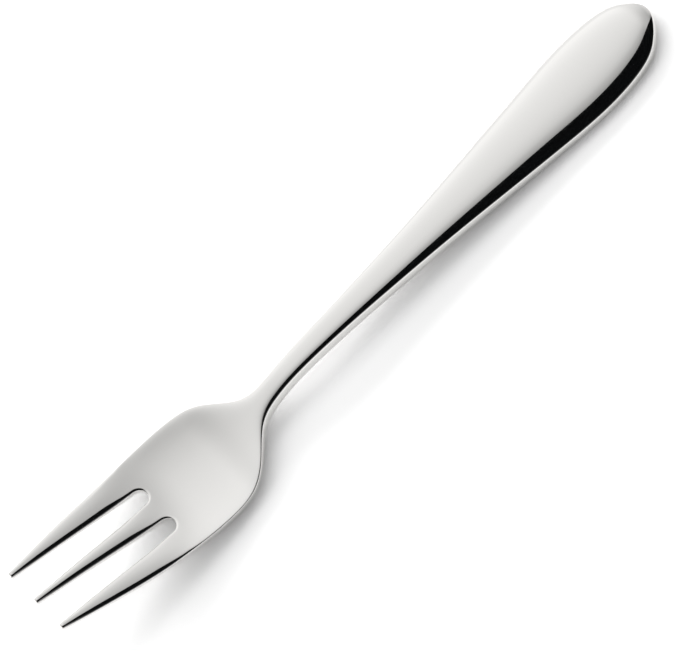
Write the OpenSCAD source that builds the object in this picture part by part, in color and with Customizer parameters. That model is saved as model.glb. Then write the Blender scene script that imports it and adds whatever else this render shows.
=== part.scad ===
// Three-tine pastry fork, stamped and polished from one piece of steel.
// X runs from the tine tips to the end of the handle, Y across and Z up.
// The fork rests on Z = 0, under the palm and near the end of the handle.

/* [Overall] */
// Length from the tine tips to the end of the handle
fork_l = 150; // [142:1:165]

/* [Head] */
// Length from the tine tips to the start of the neck
head_l = 55; // [51:1:60]
// Greatest width across the head
head_w = 23.1; // [20.5:0.1:25]
// Thickness of the palm
head_t = 1.5; // [1.2:0.1:2.1]
// Thickness of the tines at their tips
tip_t = 1.2; // [0.9:0.1:1.5]
// How far the sides of the palm stand above its middle
head_cup = 1; // [0.4:0.1:1.5]
// Depth ground off flat under the palm, where it rests
palm_flat = 0.25; // [0.15:0.05:0.35]
// Height of the tine tips above the table
tip_rise = 11.4; // [8:0.2:14]

/* [Tines] */
// Length of the two gaps between the tines
gap_l = 27.2; // [24:0.1:29]
// Width of a gap at its round end
gap_root_w = 3.3; // [2.8:0.1:4.2]
// Width of a gap between the tips
gap_tip_w = 5.85; // [5.2:0.05:6.4]
// Distance between the middles of the two gaps at their round ends
gap_root_pitch = 7.8; // [7:0.1:8.6]
// Distance between the middles of the two gaps at the tips
gap_tip_pitch = 7.15; // [6.9:0.05:7.5]
// Reach of the rounding along the top of the tines
tine_top_r = 0.95; // [0.6:0.05:1.2]
// Reach of that rounding at the very tips
tip_top_r = 0.3; // [0.2:0.05:0.5]
// Reach of the rounding on top round the ends of the gaps
root_top_r = 0.55; // [0.4:0.05:0.8]
// Reach of the rounding under the tines
tine_under_r = 0.35; // [0.2:0.05:0.5]
// Reach of the bevel across the tips
tip_bevel = 0.25; // [0.15:0.05:0.4]

/* [Neck] */
// Width of the neck
neck_w = 5.1; // [4.4:0.1:6]
// Thickness of the neck
neck_t = 2.5; // [2:0.1:3.4]
// Height of the neck's middle above the table
neck_rise = 3.93; // [3.13:0.1:5.93]

/* [Handle] */
// Greatest width of the handle
handle_w = 16; // [13:0.1:18]
// Height of the domed top above the rim
handle_dome = 1.78; // [0.98:0.05:2.28]
// Height of the rim, which leans inward above an upright foot
rim_h = 0.8; // [0.6:0.05:1.2]
// Height of the upright foot of the rim
rim_foot = 0.36; // [0.2:0.02:0.5]
// Depth of the rounded edge under the rim
under_edge = 0.44; // [0.3:0.02:0.6]
// Width left blunt at the very end
end_land = 0.5; // [0.3:0.1:1]
// How far the end curls up from where the handle rests
end_rise = 1.1; // [0:0.1:2]

/* [Hidden] */

handle_l = fork_l - head_l;
palm_z = head_t / 2 + head_cup - palm_flat;
rest_z = rim_h / 2 + under_edge;
gap_r = gap_root_w / 2;
gap_centre = gap_l - gap_r;

// A section is its upright side, its rise above, its depth below, and how square it is above and below
plate_shares = [0.36, 0.32, 0.32];
shoulder_shares = [0.32, 0.46, 0.22];
bar_shares = [0.5, 0.32, 0.18];
plate_squareness = [9, 9];
shoulder_squareness = [3.4, 5];
bar_squareness = [2.35, 3.2];
handle_squareness = [2.12, 5];
heel_squareness = [2.15, 4];
tip_section = concat(tip_t * plate_shares, plate_squareness);
palm_section = concat(head_t * plate_shares, plate_squareness);
shoulder_section = concat(head_t * shoulder_shares, shoulder_squareness);
neck_section = concat(neck_t * bar_shares, bar_squareness);
handle_section = concat([rim_h, handle_dome, under_edge], handle_squareness);
heel_section = concat([rim_h, 0.6 * handle_dome, 0.7 * under_edge], heel_squareness);
end_section = concat([0.9 * rim_h, 0, 0], heel_squareness);

// Shares of the half thickness left at the edges: on top of the tines, round the ends of the gaps,
// on top of the very tips, and underneath
tine_top_share = 0.1;
root_top_share = 0.6;
tip_top_share = 0.3;
under_share = 0.7;

// Share of a tine's width left between the corners of its tip
tip_width_share = 0.6;

// How square the rounding of the tines' edges is
edge_squareness = 2;

// Share of the half thickness by which the tops of the tines are crowned
tine_crown_share = 0.25;

// Share of a tine's half width that its rounding can take up, and how sharply it stops there
tine_reach_share = 0.9;
reach_power = 4;

// Shares of a gap's length over which the rounding grows from the tips and then holds
tip_taper_share = 0.33;
rounding_holds_share = 0.75;

// Reach of the leaning part of the rim as a share of its height, and how it curves
rim_lean_share = 0.56;
rim_curve = 2.4;

function mix(a, b, share) = a + (b - a) * share;

// One station of the fork: place along it, half width, height of its sides, cup, section
function station(place, half_w, z, cup, section) = concat([place, half_w, z, cup], section);

function head_station(place_share, width_share, rise_share, cup_share, section) =
    station(place_share * head_l, width_share * head_w / 2, mix(palm_z, tip_rise, rise_share),
        cup_share * head_cup, section);

function handle_station(place_share, width_share, rise_share, form_share) =
    station(head_l + place_share * handle_l, mix(neck_w, handle_w, width_share) / 2,
        mix(rest_z, neck_rise, rise_share), 0, mix(neck_section, handle_section, form_share));

stations = [
    head_station(0, 0.675, 1, 0.1, tip_section),
    head_station(0.164, 0.806, 0.715, 0.2, mix(tip_section, palm_section, 0.4)),
    head_station(0.327, 0.907, 0.41, 0.4, mix(tip_section, palm_section, 0.8)),
    head_station(0.491, 0.976, 0.162, 0.85, palm_section),
    head_station(0.618, 1, 0.044, 1, palm_section),
    head_station(0.727, 0.955, 0, 1, mix(palm_section, shoulder_section, 0.4)),
    head_station(0.818, 0.736, 0.074, 0.9, mix(shoulder_section, neck_section, 0.2)),
    head_station(0.909, 0.343, 0.092, 0.25, mix(shoulder_section, neck_section, 0.75)),
    station(head_l, 0.97 * neck_w / 2, mix(palm_z, neck_rise, 0.63), 0, neck_section),
    handle_station(0.07, -0.011, 1, 0),
    handle_station(0.18, 0.059, 0.939, 0.05),
    handle_station(0.3, 0.182, 0.726, 0.2),
    handle_station(0.44, 0.371, 0.487, 0.45),
    handle_station(0.58, 0.62, 0.271, 0.72),
    handle_station(0.7, 0.834, 0.089, 0.92),
    handle_station(0.82, 1, 0, 1),
    station(head_l + 0.92 * handle_l, 0.905 * handle_w / 2, rest_z + 0.05 * end_rise, 0, handle_section),
    station(head_l + 0.972 * handle_l, 0.58 * handle_w / 2, rest_z + 0.6 * end_rise, 0, heel_section),
    station(fork_l, end_land / 2, rest_z + end_rise, 0, end_section),
];
last = len(stations) - 1;

// At the end of the handle the outline turns square to the axis, and so do the rounded edges
end_turns = [0, 1, 0, 0, 0, 1, 1, 0, 0];
end_slope = [for (k = [0:len(end_turns) - 1]) -end_turns[k] * stations[last - 1][k]];

// A smooth curve through all the stations: the slopes come from one sweep forwards and one back
function forward(i, ratio, slope) =
    let (
        next_ratio = i == 0 ? 1 / 2 : 1 / (4 - ratio),
        change = i == 0 ? stations[1] - stations[0] : stations[i + 1] - stations[i - 1],
        next_slope = (3 * change - (i == 0 ? 0 * change : slope)) * next_ratio
    )
    i == last - 1 ? [[next_ratio, next_slope]] :
        concat([[next_ratio, next_slope]], forward(i + 1, next_ratio, next_slope));
sweep = forward(0, 0, 0 * end_slope);

function backward(i, slope) =
    i < 0 ? [] :
        let (this_slope = sweep[i][1] - sweep[i][0] * slope)
        concat(backward(i - 1, this_slope), [this_slope]);
slopes = concat(backward(last - 1, end_slope), [end_slope]);

// The station at step u, where whole steps are the stations in the list
function along(u) =
    let (
        i = min(floor(u), last - 1),
        t = u - i,
        a = stations[i],
        b = stations[i + 1],
        step = b - a
    )
    a + slopes[i] * t + (3 * step - 2 * slopes[i] - slopes[i + 1]) * t * t
        + (slopes[i] + slopes[i + 1] - 2 * step) * t * t * t;

// The step whose station lies at x, found by halving
function step_at(x, low, high, turns) =
    let (middle = (low + high) / 2)
    turns == 0 ? middle :
        along(middle)[0] < x ? step_at(x, middle, high, turns - 1) : step_at(x, low, middle, turns - 1);
halvings = 18;
function station_at(x) = along(step_at(x, 0, last, halvings));

// How much the slope of the outline stretches a distance measured straight across
slope_step = 0.02;
function stretch_at(x) =
    let (
        u = step_at(x, 0, last, halvings),
        change = along(min(last, u + slope_step)) - along(max(0, u - slope_step))
    )
    norm([change[0], change[1]]) / change[0];

// A superellipse that falls from 1 in the middle to 0 at 1
function arch(s, squareness) = pow(max(0, 1 - pow(min(1, abs(s)), squareness)), 1 / squareness);

// Middle and half width of the gap on the positive side, between the tips and the round end
function gap_y(x) = mix(gap_tip_pitch, gap_root_pitch, x / gap_centre) / 2;
function gap_half(x) = mix(gap_tip_w, gap_root_w, x / gap_centre) / 2;

// A smooth step from 0 to 1
function smooth(t) = t * t * (3 - 2 * t);

// Distance from a point to the nearest gap, or to the outer side of a tine
function edge_distance(x, y, half_w) =
    let (
        to_gap = x <= gap_centre ? abs(abs(y) - gap_y(x)) - gap_half(x) :
            norm([x - gap_centre, abs(y) - gap_root_pitch / 2]) - gap_r,
        to_side = half_w - abs(y) + max(0, x - gap_centre)
    )
    max(0, min(to_gap, to_side));

// From 0 where the tines keep their full rounding to 1 at the ends of the gaps
function to_root(x) =
    smooth(max(0, min(1, (x / gap_centre - rounding_holds_share) / (1 - rounding_holds_share))));

// Reach of the rounding on top, which is small at the tips and can't outgrow a narrow tine
function top_reach(x, half_tine) =
    let (
        grown = min(1, x / (tip_taper_share * gap_centre)),
        full = mix(mix(tip_top_r, tine_top_r, grown * (2 - grown)), root_top_r, to_root(x))
    )
    pow(pow(full, -reach_power) + pow(tine_reach_share * half_tine, -reach_power), -1 / reach_power);

// Shares of the half thickness left above and below the middle, with the edges and tips rounded
function left_above(x, distance) =
    let (
        half_tine = gap_y(x) - gap_half(x),
        least = mix(tine_top_share, root_top_share, to_root(x)),
        reach = top_reach(x, half_tine),
        rounded = mix(least, 1, arch(1 - min(1, distance / reach), edge_squareness)),
        from_middle = max(0, 1 - distance / half_tine),
        crown = tine_crown_share * (1 - to_root(x)) * from_middle * from_middle
    )
    rounded * (1 - crown) * mix(tip_top_share, 1, min(1, x / tip_bevel));
function left_below(x, distance) =
    mix(under_share, 1, arch(1 - min(1, distance / tine_under_r), edge_squareness))
        * mix(under_share, 1, min(1, x / tip_bevel));

// Heights of the upper and lower surface over a point
function surfaces(x, y, stretch) =
    let (
        here = station_at(x),
        s = y / here[1],
        middle = here[2] - here[3] * (1 - min(1, s * s)),
        distance = edge_distance(x, y, here[1]),
        lean = max(0, here[4] - rim_foot),
        lean_reach = stretch * rim_lean_share * lean,
        across = lean_reach > 0 ? min(1, max(0, here[1] - abs(y)) / lean_reach) : 1,
        leaning = lean * to_root(x) * pow(1 - across, rim_curve),
        over = here[4] / 2 - leaning + here[5] * mix(1, arch(s, here[7]), to_root(x)),
        under = here[4] / 2 + here[6] * arch(s, here[8])
    )
    [middle + over * left_above(x, distance), max(0, middle - under * left_below(x, distance))];

// Columns across the fork: three tines with the two gaps between them, closer at the edges
tine_shares = [-1, -0.95, -0.8, -0.5, 0, 0.5, 0.8, 0.95, 1];
arc_steps = 6;
tine_cols = len(tine_shares) - 1;
cols = 3 * tine_cols + 2 * arc_steps;
function strip(j) = floor(j / (tine_cols + arc_steps));
function in_strip(j) = j - strip(j) * (tine_cols + arc_steps);
function is_tine(j) = in_strip(j) <= tine_cols;
function is_gap_cell(j) = in_strip(j) >= tine_cols;

// Sides of the outer and the middle tine at x, and how much of a tine's width is left at the tips
function tine_bounds(x, index) =
    index == 1 ? [gap_half(x) - gap_y(x), gap_y(x) - gap_half(x)] :
    index == 0 ? [-station_at(x)[1], -gap_y(x) - gap_half(x)] :
        [gap_y(x) + gap_half(x), station_at(x)[1]];
function tip_width(x) = mix(tip_width_share, 1, min(1, x / tip_bevel));

function tine_y(x, j) =
    let (
        bounds = tine_bounds(x, strip(j)),
        share = tine_shares[in_strip(j)]
    )
    (bounds[0] + bounds[1]) / 2 + share * tip_width(x) * (bounds[1] - bounds[0]) / 2;

// Columns of a gap run round its end: the angle starts at the wall nearest the negative side
function arc_angle(j) = 180 * (in_strip(j) - tine_cols) / arc_steps;
function arc_side(j) = strip(j) == 0 ? -1 : 1;

root_ys = [
    for (j = [0:cols])
        is_tine(j) ? tine_y(gap_centre, j) : arc_side(j) * gap_root_pitch / 2 - gap_r * cos(arc_angle(j))
];
root_reaches = [for (j = [0:cols]) is_tine(j) ? 0 : gap_r * sin(arc_angle(j))];
root_shares = root_ys / station_at(gap_centre)[1];
handle_shares = [for (j = [0:cols]) -cos(180 * j / cols)];

// Rows along the fork: tips, tines, then the palm, neck and handle behind the gaps
tine_steps = 15;
tine_rows = [for (i = [0:tine_steps]) mix(tip_bevel, gap_centre, i / tine_steps)];
front_rows = concat([0], tine_rows);
root_row = len(front_rows) - 1;

// Behind the gaps the rows stay bowed for a few steps while the columns spread out
bow_steps = 7;
spread_steps = 22;
root_step = step_at(gap_centre, 0, last, halvings);
palm_step = step_at(gap_l + gap_r, 0, last, halvings);
body_steps = 58;
function back_step(k) =
    k <= bow_steps ? mix(root_step, palm_step, k / bow_steps) :
        mix(palm_step, last, (k - bow_steps) / (body_steps - bow_steps));

function front_row(i) = [for (j = [0:cols]) [front_rows[i] + (i == root_row ? root_reaches[j] : 0),
    i == root_row || !is_tine(j) ? root_ys[j] : tine_y(front_rows[i], j)]];
function back_row(k) =
    let (
        x = along(back_step(k))[0],
        bow = max(0, 1 - k / bow_steps),
        spread = smooth(min(1, k / spread_steps))
    )
    [for (j = [0:cols])
        let (place = x + bow * root_reaches[j])
        [place, mix(root_shares[j], handle_shares[j], spread) * station_at(place)[1]]];

grid = concat([for (i = [0:root_row]) front_row(i)], [for (k = [1:body_steps]) back_row(k)]);
rows = len(grid) - 1;
row_size = cols + 1;
heights = [for (row = grid) for (point = row) surfaces(point[0], point[1], stretch_at(point[0]))];
flat = [for (row = grid) for (point = row) point];
count = len(flat);

function solid_cell(i, j) =
    i >= 0 && i < rows && j >= 0 && j < cols && !(i < root_row && is_gap_cell(j));
function at(i, j) = i * row_size + j;

// A wall from the upper to the lower surface along an edge of the grid
function wall(a, b) = [[a, b, b + count], [a, b + count, a + count]];

fork_points = concat(
    [for (k = [0:count - 1]) [flat[k][0] - fork_l / 2, flat[k][1], heights[k][0]]],
    [for (k = [0:count - 1]) [flat[k][0] - fork_l / 2, flat[k][1], heights[k][1]]]
);
fork_faces = [
    for (i = [0:rows - 1], j = [0:cols - 1]) if (solid_cell(i, j))
        let (
            a = at(i, j),
            b = at(i, j + 1),
            c = at(i + 1, j + 1),
            d = at(i + 1, j)
        )
        each concat(
            [[a, b, c], [a, c, d], [a + count, c + count, b + count], [a + count, d + count, c + count]],
            solid_cell(i - 1, j) ? [] : wall(b, a),
            solid_cell(i + 1, j) ? [] : wall(d, c),
            solid_cell(i, j - 1) ? [] : wall(a, d),
            solid_cell(i, j + 1) ? [] : wall(c, b)
        )
];

module fork() {
    color("silver") polyhedron(points = fork_points, faces = fork_faces);
}

fork();
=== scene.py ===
import bpy
import math
import numpy as np
from mathutils import Matrix, Vector


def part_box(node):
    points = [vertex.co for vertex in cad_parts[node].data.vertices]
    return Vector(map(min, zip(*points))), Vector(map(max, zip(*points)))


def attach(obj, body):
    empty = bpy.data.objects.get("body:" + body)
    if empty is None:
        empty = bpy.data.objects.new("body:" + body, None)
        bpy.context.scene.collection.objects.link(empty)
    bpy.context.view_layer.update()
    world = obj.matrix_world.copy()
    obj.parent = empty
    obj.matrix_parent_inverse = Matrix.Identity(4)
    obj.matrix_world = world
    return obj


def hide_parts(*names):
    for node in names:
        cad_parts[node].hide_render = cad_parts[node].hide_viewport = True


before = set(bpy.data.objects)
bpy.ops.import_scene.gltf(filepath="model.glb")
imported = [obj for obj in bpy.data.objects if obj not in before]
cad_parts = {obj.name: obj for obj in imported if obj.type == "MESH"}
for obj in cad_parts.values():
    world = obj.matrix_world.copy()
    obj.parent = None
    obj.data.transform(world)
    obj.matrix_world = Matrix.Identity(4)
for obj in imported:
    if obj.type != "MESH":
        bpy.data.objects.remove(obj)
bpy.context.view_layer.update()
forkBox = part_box("fork")
mm = 0.001
smallest = 1e-6  # keeps a division from meeting zero
forkLength, forkWidth, forkHeight = [(forkBox[1][k] - forkBox[0][k]) / mm for k in range(3)]
print("frame loaded, fork", round(forkLength, 1), "mm long")


def linearColour(hexText):
    # sRGB hex to the linear colour that a shader takes
    parts = [int(hexText[k:k + 2], 16) / 255 for k in (1, 3, 5)]
    return [p / 12.92 if p <= 0.04045 else ((p + 0.055) / 1.055) ** 2.4 for p in parts] + [1.0]


def addNode(tree, kind, settings=None, inputs=None, stops=()):
    # stops are the places and grey levels along a colour ramp, which starts with two of them
    node = tree.nodes.new(kind)
    for name, value in (settings or {}).items():
        setattr(node, name, value)
    for name, value in (inputs or {}).items():
        if isinstance(value, bpy.types.NodeSocket):
            tree.links.new(value, node.inputs[name])
        else:
            node.inputs[name].default_value = value
    for k, (place, level) in enumerate(stops):
        elements = node.color_ramp.elements
        stop = elements[k] if k < 2 else elements.new(1)
        stop.position = place
        stop.color = (level, level, level, 1)
    return node


def newMaterial(name):
    material = bpy.data.materials.new(name)
    material.use_nodes = True
    material.node_tree.nodes.clear()
    return material


# The fork, in millimetres as it would be measured on a bench, and in shares where a note says so
forkShape = {
    "headLength": 55.0,
    "headWidth": 23.1,
    "palmThickness": 1.5,
    "tipThickness": 1.2,
    "palmCup": 1.0,  # how far the sides of the palm stand above its middle
    "palmFlat": 0.25,  # ground off under the palm where it rests
    "tipRise": 11.4,
    "gapLength": 27.2,
    "gapRootWidth": 3.3,
    "gapTipWidth": 5.85,
    "gapRootPitch": 7.8,
    "gapTipPitch": 7.15,
    "tineRounding": 0.95,  # reach of the rounding on top of the tines
    "tipRounding": 0.3,  # which begins this small at the tips
    "rootRounding": 0.55,  # and is this wide round the ends of the gaps
    "underRoundingTines": 0.35,  # reach of the rounding under the tines
    "tipBevel": 0.25,  # reach of the bevel across the tips
    "neckWidth": 5.1,
    "neckThickness": 2.5,
    "neckRise": 3.93,
    "handleWidth": 16.0,
    "handleDome": 1.78,
    "rimHeight": 0.8,
    "rimLand": 0.36,  # upright foot of the sides, which lean inward above it
    "rimLean": 0.56,  # reach of the leaning part, as a share of its height
    "rimCurve": 2.4,
    "underRounding": 0.44,
    "endWidth": 0.5,
    "endRise": 1.1,
    # shares of the half thickness left at an edge
    "tineTopShare": 0.1,  # on top along the tines
    "rootTopShare": 0.6,  # on top round the ends of the gaps
    "tipTopShare": 0.3,  # on top at the very tips
    "edgeUnderShare": 0.7,  # underneath, all round
    # other shares
    "tineCrown": 0.36,  # of the half thickness, by which a tine's top falls toward its sides
    "tineTopReach": 0.9,  # of a tine's half width, the most that its rounding takes up
    "tipWidthShare": 0.6,  # of a tine's width, left between the corners of its tip
    # where things change along a gap, as shares of the way to the centre of its round end
    "tipTaper": 0.33,  # the rounding of the tines has grown to its full reach
    "roundingHolds": 0.75,  # the tines lose their own rounding from here to that centre
    "crownFades": (0.75, 1.1),  # the crown of the tines goes flat from the first to the second
    "sideFade": 0.12,  # how soon the rounding of the outer sides ends behind the gaps
    # sections: upright, rise and depth as shares of the thickness, squareness over and under
    "plateSection": (0.36, 0.32, 0.32, 9.0, 9.0),
    "shoulderSection": (0.32, 0.48, 0.2, 2.8, 5.0),
    "neckSection": (0.5, 0.32, 0.18, 2.35, 3.2),
    "domeSquareness": (2.12, 5.0),
    "heelSquareness": (2.0, 4.0),
    "heelShares": (0.7, 0.7),  # of the dome's rise and of the rounding underneath, near the end
    "endRim": 0.9,  # share of the rim's height left at the very end
    # along the head: place, width, rise and cup as shares, two sections, share of the second
    "headStations": (
        (0, 0.675, 1, 0, "tip", "palm", 0),
        (0.164, 0.806, 0.715, 0.05, "tip", "palm", 0.4),
        (0.327, 0.907, 0.41, 0.25, "tip", "palm", 0.8),
        (0.491, 0.976, 0.162, 0.85, "tip", "palm", 1),
        (0.618, 1, 0.044, 1, "palm", "shoulder", 0),
        (0.727, 0.955, 0, 1, "palm", "shoulder", 0.4),
        (0.818, 0.736, 0.074, 0.88, "shoulder", "neck", 0.2),
        (0.909, 0.343, 0.092, 0.2, "shoulder", "neck", 0.75),
    ),
    "neckStart": (0.97, 0.63),  # share of the neck's width, and of its rise above the palm
    # along the handle: place, how near the width is to the handle's and the height to the
    # neck's, and the share of the handle's section
    "handleStations": (
        (0.07, -0.011, 1, 0),
        (0.18, 0.059, 0.939, 0.05),
        (0.3, 0.182, 0.726, 0.2),
        (0.44, 0.371, 0.487, 0.45),
        (0.58, 0.62, 0.271, 0.72),
        (0.7, 0.834, 0.089, 0.92),
        (0.82, 1, 0, 1),
    ),
    # toward the end: place, share of the handle's width, share of the end's rise, section
    "endStations": ((0.92, 0.905, 0.05, "dome"), (0.972, 0.58, 0.6, "heel")),
}

forkMesh = {
    "tineCells": 28,
    "arcCells": 20,
    "tipRows": 8,
    "tineRows": 44,
    "rootRows": 28,
    "rootCrowding": 0.55,  # how much closer together these rows are next to the gaps
    "bodyRows": 160,
    "spreadLength": 22.0,  # behind the gaps, over which the columns spread out again
    "splineSamples": 240,  # between two stations
}


# what each station holds: its place, half width, height of the sides, cup, then its section
stationColumns = ("place", "half", "sides", "cup", "upright", "rise", "depth",
                  "squareOver", "squareUnder", "stretch")


def mixed(a, b, share):
    return np.asarray(a, float) + (np.asarray(b, float) - np.asarray(a, float)) * share


def eased(share):
    share = np.clip(share, 0, 1)
    return share * share * (3 - 2 * share)


def arch(s, squareness):
    # a superellipse that falls from 1 in the middle to 0 at the edge
    inside = np.clip(1 - np.minimum(1, np.abs(s)) ** squareness, 0, 1)
    return inside ** (1 / squareness)


def forkStations():
    f = forkShape
    palmZ = f["palmThickness"] / 2 + f["palmCup"] - f["palmFlat"]
    restZ = f["rimHeight"] / 2 + f["underRounding"]
    handleLength = forkLength - f["headLength"]
    heelRise, heelDepth = f["heelShares"]
    rim, dome, under = f["rimHeight"], f["handleDome"], f["underRounding"]
    section = {
        "dome": np.append([rim, dome, under], f["domeSquareness"]),
        "heel": np.append([rim, heelRise * dome, heelDepth * under], f["heelSquareness"]),
        "end": np.append([f["endRim"] * rim, 0, 0], f["heelSquareness"]),
    }
    for name, shares, thickness in (("tip", "plateSection", "tipThickness"),
                                    ("palm", "plateSection", "palmThickness"),
                                    ("shoulder", "shoulderSection", "palmThickness"),
                                    ("neck", "neckSection", "neckThickness")):
        section[name] = np.append(f[thickness] * np.array(f[shares][:3]), f[shares][3:])

    stations = []
    for place, width, rise, cup, first, second, share in f["headStations"]:
        stations.append(np.append([place * f["headLength"], width * f["headWidth"] / 2,
                                   mixed(palmZ, f["tipRise"], rise), cup * f["palmCup"]],
                                  mixed(section[first], section[second], share)))
    width, rise = f["neckStart"]
    stations.append(np.append([f["headLength"], width * f["neckWidth"] / 2,
                               mixed(palmZ, f["neckRise"], rise), 0], section["neck"]))
    for place, width, rise, form in f["handleStations"]:
        stations.append(np.append([f["headLength"] + place * handleLength,
                                   mixed(f["neckWidth"], f["handleWidth"], width) / 2,
                                   mixed(restZ, f["neckRise"], rise), 0],
                                  mixed(section["neck"], section["dome"], form)))
    for place, width, rise, form in f["endStations"]:
        stations.append(np.append([f["headLength"] + place * handleLength,
                                   width * f["handleWidth"] / 2,
                                   restZ + rise * f["endRise"], 0], section[form]))
    stations.append(np.append([forkLength, f["endWidth"] / 2, restZ + f["endRise"], 0],
                              section["end"]))
    return np.array(stations)


def smoothStations(stations):
    # a cubic spline through the stations, ending square to the axis
    samples = forkMesh["splineSamples"]
    last = len(stations) - 1
    matrix = np.diag(np.full(last + 1, 4.0))
    matrix += np.diag(np.ones(last), 1) + np.diag(np.ones(last), -1)
    target = np.zeros_like(stations)
    target[1:-1] = 3 * (stations[2:] - stations[:-2])
    matrix[0, 0] = 2
    target[0] = 3 * (stations[1] - stations[0])
    matrix[-1, -2:] = (0, 1)
    for name in ("half", "rise", "depth"):
        k = stationColumns.index(name)
        target[-1, k] = -stations[-2, k]
    slopes = np.linalg.solve(matrix, target)
    u = np.linspace(0, last, last * samples + 1)
    i = np.minimum(u.astype(int), last - 1)
    t = (u - i)[:, None]
    a, b, va, vb = stations[i], stations[i + 1], slopes[i], slopes[i + 1]
    curve = a + va * t + (3 * (b - a) - 2 * va - vb) * t ** 2 + (va + vb - 2 * (b - a)) * t ** 3
    # last, how much the outline's slope stretches a distance measured straight across
    stretch = np.hypot(1, np.gradient(curve[:, 1], curve[:, 0]))
    return np.column_stack([curve, stretch])


forkCurve = smoothStations(forkStations())
gapRadius = forkShape["gapRootWidth"] / 2
gapCentre = forkShape["gapLength"] - gapRadius  # centre of a gap's round end, from the tips


def station(x, name):
    return np.interp(x, forkCurve[:, 0], forkCurve[:, stationColumns.index(name)])


def gapMiddle(x):
    return mixed(forkShape["gapTipPitch"], forkShape["gapRootPitch"], x / gapCentre) / 2


def gapHalf(x):
    return mixed(forkShape["gapTipWidth"], forkShape["gapRootWidth"], x / gapCentre) / 2


def forkGrid():
    # where the grid's lines cross, seen from above, and which cells lie in the gaps
    f, m = forkShape, forkMesh
    # columns: three tines with the two gaps between them
    strip = m["tineCells"] + m["arcCells"]
    cols = 3 * m["tineCells"] + 2 * m["arcCells"]
    column = np.arange(cols + 1)
    stripOf, inStrip = column // strip, column % strip
    onTine = inStrip <= m["tineCells"]
    tineShare = np.sin((inStrip / m["tineCells"] - 0.5) * math.pi)
    arcAngle = (inStrip - m["tineCells"]) / m["arcCells"] * math.pi
    tineSide = stripOf - 1.0
    arcSide = np.where(stripOf == 0, -1.0, 1.0)

    def tineY(x):
        wide = station(x, "half")
        inner, outer = gapMiddle(x) - gapHalf(x), gapMiddle(x) + gapHalf(x)
        low = np.where(tineSide < 0, -wide, np.where(tineSide > 0, outer, -inner))
        high = np.where(tineSide < 0, -outer, np.where(tineSide > 0, wide, inner))
        tip = mixed(f["tipWidthShare"], 1, min(1, x / f["tipBevel"]))
        return (low + high) / 2 + tineShare * tip * (high - low) / 2

    rootY = np.where(onTine, tineY(gapCentre),
                     arcSide * f["gapRootPitch"] / 2 - gapRadius * np.cos(arcAngle))
    rootReach = np.where(onTine, 0, gapRadius * np.sin(arcAngle))
    rootShare = rootY / station(gapCentre, "half")
    handleShare = -np.cos(math.pi * column / cols)

    # rows: tips, tines, the round ends of the gaps, then palm, neck and handle
    tipX = np.linspace(0, f["tipBevel"], m["tipRows"])
    tineX = np.linspace(f["tipBevel"], gapCentre, m["tineRows"] + 1)[1:]
    frontX = np.append(tipX, tineX)
    rootRow = len(frontX) - 1
    rootEnd = gapCentre + 2 * gapRadius
    grow = np.linspace(0, 1, m["rootRows"] + 1)[1:]
    rootX = mixed(gapCentre, rootEnd, mixed(grow, grow ** 2, m["rootCrowding"]))
    along, order = forkCurve[:, 0], np.arange(len(forkCurve))
    bodyU = np.linspace(np.interp(rootEnd, along, order), order[-1], m["bodyRows"] + 1)[1:]
    bodyX = np.interp(bodyU, order, along)

    gridX, gridY = [], []
    for i, x in enumerate(frontX):
        gridX.append(x + (rootReach if i == rootRow else 0 * rootReach))
        gridY.append(np.where(onTine, tineY(x), rootY))
    for x in np.append(rootX, bodyX):
        bow = max(0, 1 - (x - gapCentre) / (2 * gapRadius))
        spread = eased((x - gapCentre) / m["spreadLength"])
        place = x + bow * rootReach
        gridX.append(place)
        gridY.append(mixed(rootShare, handleShare, spread) * station(place, "half"))
    punched = np.zeros((len(gridX) - 1, cols), bool)
    punched[:rootRow] = inStrip[:-1] >= m["tineCells"]
    return np.array(gridX), np.clip(gridY, -forkWidth / 2, forkWidth / 2), punched


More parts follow.
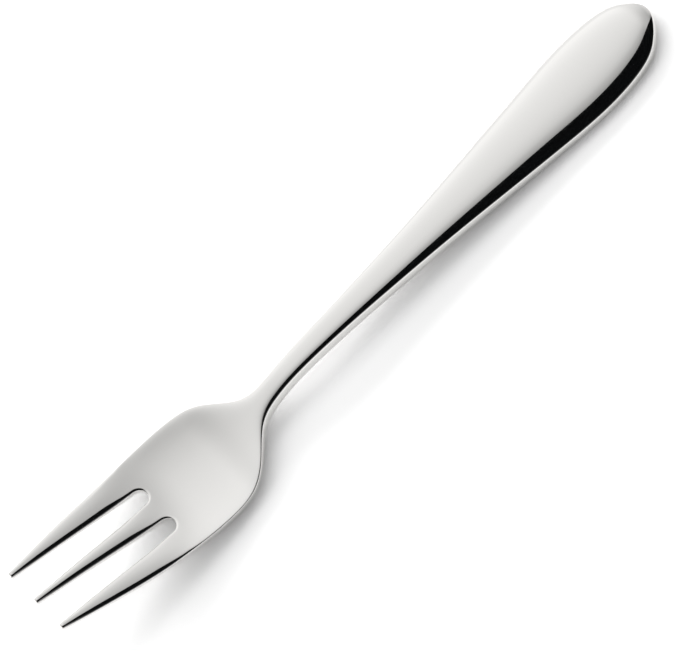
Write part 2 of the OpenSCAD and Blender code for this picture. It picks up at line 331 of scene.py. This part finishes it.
def faceHeights(x, y):
    f = forkShape
    wide = station(x, "half")

    # how far each point lies from the nearest edge
    toGap = np.where(x <= gapCentre, np.abs(np.abs(y) - gapMiddle(x)) - gapHalf(x),
                     np.hypot(x - gapCentre, np.abs(y) - f["gapRootPitch"] / 2) - gapRadius)
    toSide = wide - np.abs(y) + f["sideFade"] * np.maximum(0, x - gapCentre)
    distance = np.clip(np.minimum(toGap, toSide), 0, None)

    # rounding on top, which grows from the tips and changes round the ends of the gaps
    toRoot = eased((x / gapCentre - f["roundingHolds"]) / (1 - f["roundingHolds"]))
    halfTine = gapMiddle(x) - gapHalf(x)
    grown = np.minimum(1, x / (f["tipTaper"] * gapCentre))
    reach = mixed(f["tipRounding"], f["tineRounding"], grown * (2 - grown))
    reach = mixed(reach, f["rootRounding"], toRoot)
    reach = (reach ** -4 + (f["tineTopReach"] * halfTine) ** -4) ** -0.25
    left = mixed(f["tineTopShare"], f["rootTopShare"], toRoot)
    edgeOver = mixed(left, 1, arch(1 - np.minimum(1, distance / reach), 2))

    # the tops of the tines fall a little toward their sides
    outerHalf = (wide - gapMiddle(x) - gapHalf(x)) / 2
    ownHalf = np.where(np.abs(y) > gapMiddle(x), outerHalf, halfTine)
    fadeFrom, fadeTo = f["crownFades"]
    fade = 1 - eased((x / gapCentre - fadeFrom) / (fadeTo - fadeFrom))
    crown = f["tineCrown"] * fade * np.clip(1 - distance / ownHalf, 0, 1) ** 2
    edgeOver = edgeOver * (1 - crown)

    # rounding underneath, and the bevel across the tips
    nearEdge = np.minimum(1, distance / f["underRoundingTines"])
    edgeUnder = mixed(f["edgeUnderShare"], 1, arch(1 - nearEdge, 2))
    tip = np.minimum(1, x / f["tipBevel"])
    tipOver, tipUnder = mixed(f["tipTopShare"], 1, tip), mixed(f["edgeUnderShare"], 1, tip)

    # the section at each point, over and under the middle of the metal
    s = y / wide
    middle = station(x, "sides") - station(x, "cup") * (1 - np.minimum(1, s * s))
    upright = station(x, "upright")
    lean = np.maximum(0, upright - f["rimLand"])
    leanReach = station(x, "stretch") * f["rimLean"] * lean + smallest
    across = np.clip((wide - np.abs(y)) / leanReach, 0, 1)
    over = upright / 2 - lean * toRoot * (1 - across) ** f["rimCurve"]
    over = over + station(x, "rise") * mixed(1, arch(s, station(x, "squareOver")), toRoot)
    under = upright / 2 + station(x, "depth") * arch(s, station(x, "squareUnder"))
    upper = np.minimum(middle + over * edgeOver * tipOver, forkHeight)
    lower = np.maximum(0, middle - under * edgeUnder * tipUnder)
    return upper, lower


def punchedBlank(punched):
    # a flat strip with the gaps punched out, then given its thickness
    rows, cols = punched.shape
    bpy.ops.object.select_all(action="DESELECT")
    bpy.ops.mesh.primitive_grid_add(x_subdivisions=rows, y_subdivisions=cols, size=1)
    fork = bpy.context.object
    fork.name = fork.data.name = "steel_fork"
    inGap = [bool(punched[int((p.center.x + 0.5) * rows), int((p.center.y + 0.5) * cols)])
             for p in fork.data.polygons]
    bpy.ops.object.mode_set(mode="EDIT")
    bpy.ops.mesh.select_mode(type="FACE")
    bpy.ops.mesh.select_all(action="DESELECT")
    bpy.ops.object.mode_set(mode="OBJECT")
    for p, gone in zip(fork.data.polygons, inGap):
        p.select = gone
    bpy.ops.object.mode_set(mode="EDIT")
    bpy.ops.mesh.delete(type="FACE")
    bpy.ops.mesh.select_all(action="SELECT")
    bpy.ops.mesh.extrude_region_move(TRANSFORM_OT_translate={"value": (0, 0, 1)})
    bpy.ops.mesh.select_all(action="SELECT")
    bpy.ops.mesh.normals_make_consistent(inside=False)
    bpy.ops.object.mode_set(mode="OBJECT")
    return fork


def makeFork():
    x, y, punched = forkGrid()
    upper, lower = faceHeights(x, y)
    fork = punchedBlank(punched)
    print("blank punched:", len(fork.data.polygons), "faces")

    # pressed to shape by formula, because a mirror polish shows the least unevenness
    rows, cols = punched.shape
    points = np.zeros(len(fork.data.vertices) * 3)
    fork.data.vertices.foreach_get("co", points)
    points = points.reshape(-1, 3)
    i = np.rint((points[:, 0] + 0.5) * rows).astype(int)
    j = np.rint((points[:, 1] + 0.5) * cols).astype(int)
    z = np.where(points[:, 2] > 0.5, upper[i, j], lower[i, j])
    pressed = np.column_stack([x[i, j] - forkLength / 2, y[i, j], z]) * mm
    fork.data.vertices.foreach_set("co", pressed.ravel())
    fork.data.update()
    bpy.ops.object.shade_smooth()
    print("fork pressed to shape:", len(fork.data.vertices), "vertices")
    return fork


# Polished stainless steel: a mirror with a slight warmth, a little softer where the head was buffed
steelFinish = {
    "colour": "#dedddb",
    "handleRoughness": 0.05,
    "headRoughness": 0.12,
    "polishChange": (-30.0, 0.0),  # mm from the middle, from the head's polish to the handle's
    "buffing": 0.02,  # how far the roughness wanders between the strokes of the buffing wheel
    "strokeLength": 9.0,  # mm along the fork
    "strokeWidth": 1.2,  # mm across it, wider than real strokes, so that the picture holds them
    "noiseSpan": (0.3, 0.7),  # the middle part of the noise, where it mostly lies
}


def polishedSteel():
    s = steelFinish
    material = newMaterial("stainless_steel_polished")
    tree = material.node_tree
    coords = addNode(tree, "ShaderNodeTexCoord")
    place = addNode(tree, "ShaderNodeSeparateXYZ", inputs={"Vector": coords.outputs["Object"]})
    changeStart, changeEnd = s["polishChange"]
    headToHandle = addNode(tree, "ShaderNodeMapRange", {"interpolation_type": "SMOOTHSTEP"}, {
        "Value": place.outputs["X"], "From Min": changeStart * mm, "From Max": changeEnd * mm,
        "To Min": s["headRoughness"], "To Max": s["handleRoughness"]})
    # long faint strokes left by the buffing, which keep the mirror from looking drawn
    strokes = addNode(tree, "ShaderNodeMapping", inputs={
        "Vector": coords.outputs["Object"],
        "Scale": (1 / (s["strokeLength"] * mm), 1 / (s["strokeWidth"] * mm), 0)})
    noise = addNode(tree, "ShaderNodeTexNoise", inputs={
        "Vector": strokes.outputs["Vector"], "Scale": 1.0})
    noiseLow, noiseHigh = s["noiseSpan"]
    wander = addNode(tree, "ShaderNodeMapRange", inputs={
        "Value": noise.outputs["Fac"], "From Min": noiseLow, "From Max": noiseHigh,
        "To Min": -s["buffing"], "To Max": s["buffing"]})
    roughness = addNode(tree, "ShaderNodeMath", {"operation": "ADD"}, {
        0: headToHandle.outputs["Result"], 1: wander.outputs["Result"]})
    shader = addNode(tree, "ShaderNodeBsdfPrincipled", inputs={
        "Base Color": linearColour(s["colour"]), "Metallic": 1.0,
        "Roughness": roughness.outputs["Value"]})
    addNode(tree, "ShaderNodeOutputMaterial", inputs={"Surface": shader.outputs["BSDF"]})
    return material


fork = makeFork()
fork.data.materials.append(polishedSteel())
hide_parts("fork")
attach(fork, "root")
print("steel laid on:", fork.data.materials[0].name)

# Studio: a long softbox over the far side and a black card over the near side, both arched.
# Lengths are in metres where no note says mm
studio = {
    "floorColour": "#f4f4f4",
    "floorSize": 8.0,
    "floorBelow": 0.01,  # mm under the fork
    "floorSeen": 1.38,  # linear, where the camera or the steel sees it, so the lamps stay plain
    "archRadius": 0.9,
    "archLength": 3.2,
    "archSteps": (4, 48),  # grid cells along the arch and round it
    "softboxLow": 4.0,  # degrees above the far horizon
    "feltColour": "#0d0e0f",
    "cardLow": 4.0,  # degrees above the near horizon
    "cardHigh": 96.0,  # where the card ends and the softbox begins
    # painted light on both felts against the angle in degrees: an emission glow that lightens them
    # toward the table, standing in for light from it
    "cardPaintedLight": ((4, 0.7), (14, 0.38), (24, 0.17), (34, 0.05), (46, 0.0)),
    "endCardPaintedLight": ((4, 0.5), (14, 0.28), (26, 0.1), (40, 0.03), (52, 0.0)),
    "softboxPower": 1.3,
    # brightness of the cloth against the angle, in degrees from the near horizon over the top
    "softboxFall": ((97, 0.34), (100, 0.42), (103, 0.49), (105, 0.57), (108, 0.64),
                    (112, 0.7), (115, 0.74), (120, 0.785), (130, 0.85), (138, 0.91),
                    (146, 0.97), (154, 1.0), (160, 0.92), (166, 0.86), (172, 0.9)),
    # the same for the part of the cloth that the tines mirror, and where it lies in the arch
    "softboxFallEnd": ((97, 0.53), (106, 0.55), (112, 0.58), (118, 0.63), (124, 0.69),
                       (131, 0.77), (140, 0.84), (150, 0.9), (170, 0.95)),
    "softboxEndShare": ((0.55, 0), (0.63, 1), (0.69, 1), (0.75, 0)),
    "softboxEnds": 0.74,  # how bright the cloth is toward both ends, against its middle
    "softboxDims": (0.03, 0.24),  # from the cloth's middle, as shares of its length, where it dims
    "endCard": -0.85,  # where a second black card closes the arch, beyond the tips
    # strip lamps: degrees above the table, height of the strip, power
    "lamps": {"low_lamp": (18.0, 0.4, 21.7), "high_lamp": (50.0, 0.5, 7.1)},
    "lampLength": 3.2,
    "lampDistance": 1.2,
    "worldLight": 0.38,  # strength of the world as a light; where it is seen it is 1
}


def archPanel(name, lowAngle, highAngle):
    # a strip bent round the fork's length; its angles go from the near horizon over the top
    cellsAlong, cellsRound = studio["archSteps"]
    bpy.ops.object.select_all(action="DESELECT")
    bpy.ops.mesh.primitive_grid_add(x_subdivisions=cellsAlong, y_subdivisions=cellsRound, size=1)
    panel = bpy.context.object
    panel.name = name
    for v in panel.data.vertices:
        angle = math.radians(lowAngle + (v.co.y + 0.5) * (highAngle - lowAngle))
        v.co = (v.co.x * studio["archLength"], -studio["archRadius"] * math.cos(angle),
                studio["archRadius"] * math.sin(angle))
    panel.visible_camera = False
    return panel


def seenDirectly(tree):
    # 1 where the camera or a mirror in its view looks at the thing, 0 where it only gives light,
    # which is also so for a ray that has left something matt
    rays = addNode(tree, "ShaderNodeLightPath")
    seen = addNode(tree, "ShaderNodeMath", {"operation": "MAXIMUM"},
                   {0: rays.outputs["Is Camera Ray"], 1: rays.outputs["Is Glossy Ray"]})
    seen = addNode(tree, "ShaderNodeMath", {"operation": "MAXIMUM"},
                   {0: seen.outputs[0], 1: rays.outputs["Is Transmission Ray"]})
    direct = addNode(tree, "ShaderNodeMath", {"operation": "LESS_THAN"},
                     {0: rays.outputs["Diffuse Depth"], 1: 0.5})
    seen = addNode(tree, "ShaderNodeMath", {"operation": "MULTIPLY"},
                   {0: seen.outputs[0], 1: direct.outputs[0]})
    return seen.outputs[0]


def studioFloor():
    bpy.ops.object.select_all(action="DESELECT")
    bpy.ops.mesh.primitive_plane_add(size=studio["floorSize"],
                                     location=(0, 0, -studio["floorBelow"] * mm))
    floor = bpy.context.object
    floor.name = "floor"
    material = newMaterial("matt_white_card")
    tree = material.node_tree
    # 6 and 7 are the colours A and B of a mix node, and 2 is the mixed colour
    tone = addNode(tree, "ShaderNodeMix", {"data_type": "RGBA"}, {
        "Factor": seenDirectly(tree), 6: linearColour(studio["floorColour"]),
        7: [studio["floorSeen"]] * 3 + [1.0]})
    shader = addNode(tree, "ShaderNodeBsdfDiffuse", inputs={"Color": tone.outputs[2]})
    addNode(tree, "ShaderNodeOutputMaterial", inputs={"Surface": shader.outputs["BSDF"]})
    floor.data.materials.append(material)


def blackFelt(name, axis, fall):
    # dark cloth with painted light: an emission glow stands in for light from the white table
    # below, so it lightens along one axis of its UV map
    material = newMaterial(name)
    tree = material.node_tree
    coords = addNode(tree, "ShaderNodeTexCoord")
    place = addNode(tree, "ShaderNodeSeparateXYZ", inputs={"Vector": coords.outputs["UV"]})
    ramp = addNode(tree, "ShaderNodeValToRGB", inputs={"Fac": place.outputs[axis]}, stops=fall)
    felt = addNode(tree, "ShaderNodeBsdfDiffuse", inputs={
        "Color": linearColour(studio["feltColour"])})
    # painted light from the table, as an emission on the felt
    glow = addNode(tree, "ShaderNodeEmission", inputs={"Color": ramp.outputs["Color"]})
    both = addNode(tree, "ShaderNodeAddShader", inputs={
        0: felt.outputs["BSDF"], 1: glow.outputs["Emission"]})
    addNode(tree, "ShaderNodeOutputMaterial", inputs={"Surface": both.outputs["Shader"]})
    return material


def studioPanels():
    low, high = studio["cardHigh"], 180 - studio["softboxLow"]
    softbox = archPanel("softbox", low, high)
    softbox.visible_shadow = False
    material = newMaterial("softbox_cloth")
    tree = material.node_tree
    coords = addNode(tree, "ShaderNodeTexCoord")
    place = addNode(tree, "ShaderNodeSeparateXYZ", inputs={"Vector": coords.outputs["UV"]})
    ramps = []
    for name in ("softboxFall", "softboxFallEnd"):
        ramp = addNode(tree, "ShaderNodeValToRGB", inputs={"Fac": place.outputs["Y"]}, stops=[
            ((angle - low) / (high - low), glow) for angle, glow in studio[name]])
        ramps.append(ramp.outputs["Color"])
    toEnd = addNode(tree, "ShaderNodeValToRGB", inputs={"Fac": place.outputs["X"]},
                    stops=studio["softboxEndShare"])
    toEnd.color_ramp.interpolation = "EASE"
    fall = addNode(tree, "ShaderNodeMix", {"data_type": "RGBA"}, {
        "Factor": toEnd.outputs["Color"], 6: ramps[0], 7: ramps[1]})
    offset = addNode(tree, "ShaderNodeMath", {"operation": "SUBTRACT"},
                     {0: place.outputs["X"], 1: 0.5})
    offset = addNode(tree, "ShaderNodeMath", {"operation": "ABSOLUTE"}, {0: offset.outputs[0]})
    dimStart, dimEnd = studio["softboxDims"]
    power = studio["softboxPower"]
    along = addNode(tree, "ShaderNodeMapRange", {"interpolation_type": "SMOOTHSTEP"}, {
        "Value": offset.outputs[0], "From Min": dimStart, "From Max": dimEnd,
        "To Min": power, "To Max": power * studio["softboxEnds"]})
    glow = addNode(tree, "ShaderNodeEmission", inputs={
        "Color": fall.outputs[2], "Strength": along.outputs["Result"]})
    addNode(tree, "ShaderNodeOutputMaterial", inputs={"Surface": glow.outputs["Emission"]})
    softbox.data.materials.append(material)

    low, high = studio["cardLow"], studio["cardHigh"]
    card = archPanel("black_card", low, high)
    card.data.materials.append(blackFelt("black_felt", "Y", [
        ((angle - low) / (high - low), glow) for angle, glow in studio["cardPaintedLight"]]))

    bpy.ops.object.select_all(action="DESELECT")
    radius, away = studio["archRadius"], studio["endCard"]
    foot = radius * math.tan(math.radians(studio["cardLow"]))
    bpy.ops.mesh.primitive_plane_add(size=2 * radius, location=(away, 0, radius + foot),
                                     rotation=(0, -math.pi / 2, 0))
    endCard = bpy.context.object
    endCard.name = "black_end_card"
    endPaintedLight = []
    for angle, glow in studio["endCardPaintedLight"]:
        height = abs(away) * math.tan(math.radians(angle))
        endPaintedLight.append((max(0, height - foot) / (2 * radius), glow))
    endCard.data.materials.append(blackFelt("black_felt_end", "X", endPaintedLight))
    endCard.visible_camera = False

    # the cards only show in the steel and take no light from the table
    for blocker in (card, endCard):
        blocker.visible_diffuse = False
        blocker.visible_shadow = False


def studioLamps():
    # they light the table from behind the softbox; the steel mirrors only the cloth
    for name, (degrees, wide, power) in studio["lamps"].items():
        lamp = bpy.data.lights.new(name, "AREA")
        lamp.shape = "RECTANGLE"
        lamp.size, lamp.size_y = studio["lampLength"], wide
        lamp.energy = power
        strip = bpy.data.objects.new(name, lamp)
        bpy.context.scene.collection.objects.link(strip)
        height = math.radians(degrees)
        strip.location = Vector((0, math.cos(height), math.sin(height))) * studio["lampDistance"]
        strip.rotation_euler = (-strip.location).to_track_quat("-Z", "Y").to_euler()
        strip.visible_glossy = False
        strip.visible_camera = False


def studioWorld():
    # white wherever the camera or the steel sees it, weaker as a light
    world = bpy.data.worlds.new("studio")
    bpy.context.scene.world = world
    world.use_nodes = True
    tree = world.node_tree
    tree.nodes.clear()
    strength = addNode(tree, "ShaderNodeMapRange", inputs={
        "Value": seenDirectly(tree), "To Min": studio["worldLight"], "To Max": 1.0})
    sky = addNode(tree, "ShaderNodeBackground", inputs={
        "Color": (1, 1, 1, 1), "Strength": strength.outputs["Result"]})
    addNode(tree, "ShaderNodeOutputWorld", inputs={"Surface": sky.outputs["Background"]})


studioFloor()
studioPanels()
studioLamps()
studioWorld()
print("studio built")

# The camera looks from the fork's near side, rolled so that the handle runs up to the right;
# degrees and metres
cameraView = {
    "elevation": 62.0,
    "roll": 45.73,
    "distance": 3.2,
    "frameWidth": 0.1198,  # seen across the picture at the fork
    "target": (-0.00287, 0.00108, 0.0),
    "sensorWidth": 36.0,  # mm, as the lens
    "clip": (0.05, 20.0),
}


def makeCamera():
    c = cameraView
    data = bpy.data.cameras.new("camera")
    camera = bpy.data.objects.new("camera", data)
    bpy.context.scene.collection.objects.link(camera)
    e = math.radians(c["elevation"])
    back = Vector((0, -math.cos(e), math.sin(e)))
    right = Vector((1, 0, 0))
    up = back.cross(right)
    roll = Matrix.Rotation(-math.radians(c["roll"]), 3, "Z")
    turn = Matrix((right, up, back)).transposed() @ roll
    place = Matrix.Translation(Vector(c["target"]) + back * c["distance"])
    camera.matrix_world = place @ turn.to_4x4()
    data.sensor_width = c["sensorWidth"]
    data.lens = c["sensorWidth"] * c["distance"] / c["frameWidth"]
    data.clip_start, data.clip_end = c["clip"]
    bpy.context.scene.camera = camera


makeCamera()
bpy.context.scene.view_settings.view_transform = "Standard"
print("camera set")
